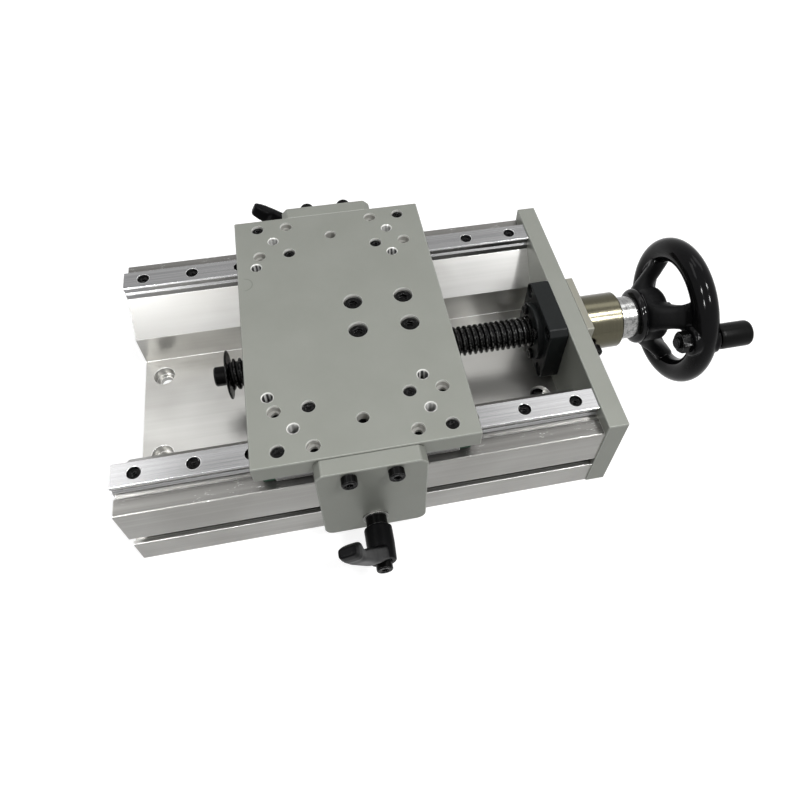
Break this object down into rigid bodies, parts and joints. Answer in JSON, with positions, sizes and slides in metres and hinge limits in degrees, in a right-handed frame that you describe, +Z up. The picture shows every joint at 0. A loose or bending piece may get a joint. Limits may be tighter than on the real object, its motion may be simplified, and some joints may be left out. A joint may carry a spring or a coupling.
{
  "type": "manual linear stage",
  "caption": "Manual linear stage: a drilled table on two guide rails over an extruded base, moved by a lead screw with a handwheel and locked by two clamp levers.",
  "frame": {"origin": "centre of the base's bottom face", "axes": "+X along the rails towards the handwheel, +Y to the rear, +Z up, out of the table"},
  "size_m": [0.3156, 0.2354, 0.08],
  "materials": {
    "extrusion": "clear anodised extrusion with drawing streaks",
    "blasted_plate": "bead blasted, warm grey anodised",
    "rail_steel": "ground steel",
    "cap_plastic": "dark green moulded",
    "black_screws": "black oxide",
    "black_housing": "black oxide, satin",
    "bearing_steel": "polished steel",
    "screw_steel": "blackened steel with bright crests",
    "nut_bronze": "machined bronze",
    "collar_brass": "turned, dull olive",
    "bush_steel": "turned steel, mottled",
    "wheel_black": "gloss black moulded",
    "grip_black": "satin black moulded",
    "lever_black": "satin black cast"
  },
  "bodies": {
    "base": {"base_profile": "extrusion", "end_plate": "blasted_plate", "end_plate_screws": "black_screws", "rail_front": "rail_steel", "rail_rear": "rail_steel", "rail_screws_front": "black_screws", "rail_screws_rear": "black_screws", "bearing_housing": "black_housing", "housing_screws": "black_screws", "bearing_retainer": "black_housing", "retainer_screws": "black_screws", "bearing_outer_rings": "bearing_steel", "thrust_pad": "blasted_plate"},
    "table": {"table_plate": "blasted_plate", "carriage_front_left": "rail_steel", "carriage_front_right": "rail_steel", "carriage_rear_left": "rail_steel", "carriage_rear_right": "rail_steel", "carriage_caps_front_left": "cap_plastic", "carriage_caps_front_right": "cap_plastic", "carriage_caps_rear_left": "cap_plastic", "carriage_caps_rear_right": "cap_plastic", "carriage_screws": "black_screws", "nut_bracket": "blasted_plate", "nut_bracket_screws": "black_screws", "lead_nut": "nut_bronze", "lead_nut_screws": "black_screws", "lock_bracket_front": "blasted_plate", "lock_bracket_rear": "blasted_plate", "lock_bracket_screws_front": "black_screws", "lock_bracket_screws_rear": "black_screws", "slot_nut_front": "bearing_steel", "slot_nut_rear": "bearing_steel"},
    "screw": {"lead_screw": "screw_steel", "stop_washer": "black_screws", "stop_screw": "black_screws", "bearing_inner_rings": "bearing_steel", "shaft_spacers": "bearing_steel", "shaft_collar": "collar_brass", "collar_screw": "black_screws", "handwheel_bush": "bush_steel", "handwheel": "wheel_black", "wheel_key": "bearing_steel", "wheel_washer": "bearing_steel", "wheel_screw": "black_screws", "handle_spindle": "bearing_steel", "handle_nut": "black_screws"},
    "grip": {"handle_grip": "grip_black"},
    "front_clamp": {"lever_stud_front": "black_screws", "lever_washer_front": "bearing_steel", "lever_screw_front": "black_screws", "lever_spring_front": "bearing_steel"},
    "front_lever": {"lever_handle_front": "lever_black"},
    "rear_clamp": {"lever_stud_rear": "black_screws", "lever_washer_rear": "bearing_steel", "lever_screw_rear": "black_screws", "lever_spring_rear": "bearing_steel"},
    "rear_lever": {"lever_handle_rear": "lever_black"}
  },
  "joints": [
    {"name": "table_slide", "type": "slide", "parent": "base", "child": "table", "axis": [1, 0, 0], "range_m": [-0.054, 0.06]},
    {"name": "screw_spin", "type": "hinge", "parent": "base", "child": "screw", "pos_m": [0, 0, 0.0336], "axis": [1, 0, 0], "range_deg": [-7210, 6490]},
    {"name": "grip_spin", "type": "hinge", "parent": "screw", "child": "grip", "pos_m": [0.198, -0.0296, 0.04437], "axis": [1, 0, 0], "continuous": true},
    {"name": "front_clamp_turn", "type": "hinge", "parent": "table", "child": "front_clamp", "pos_m": [0, -0.09, 0.01925], "axis": [0, -1, 0], "range_deg": [-90, 60]},
    {"name": "front_lever_lift", "type": "slide", "parent": "front_clamp", "child": "front_lever", "axis": [0, -1, 0], "range_m": [0, 0.0032], "stiffness_N_per_m": 1500, "springref_m": -0.001, "deforming": ["lever_spring_front"]},
    {"name": "rear_clamp_turn", "type": "hinge", "parent": "table", "child": "rear_clamp", "pos_m": [0, 0.09, 0.01925], "axis": [0, 1, 0], "range_deg": [-20, 130]},
    {"name": "rear_lever_lift", "type": "slide", "parent": "rear_clamp", "child": "rear_lever", "axis": [0, 1, 0], "range_m": [0, 0.0032], "stiffness_N_per_m": 1500, "springref_m": -0.001, "deforming": ["lever_spring_rear"]}
  ],
  "couplings": [
    {"joint": "screw_spin", "follows": "table_slide", "rad_per_m": -2094.4}
  ]
}
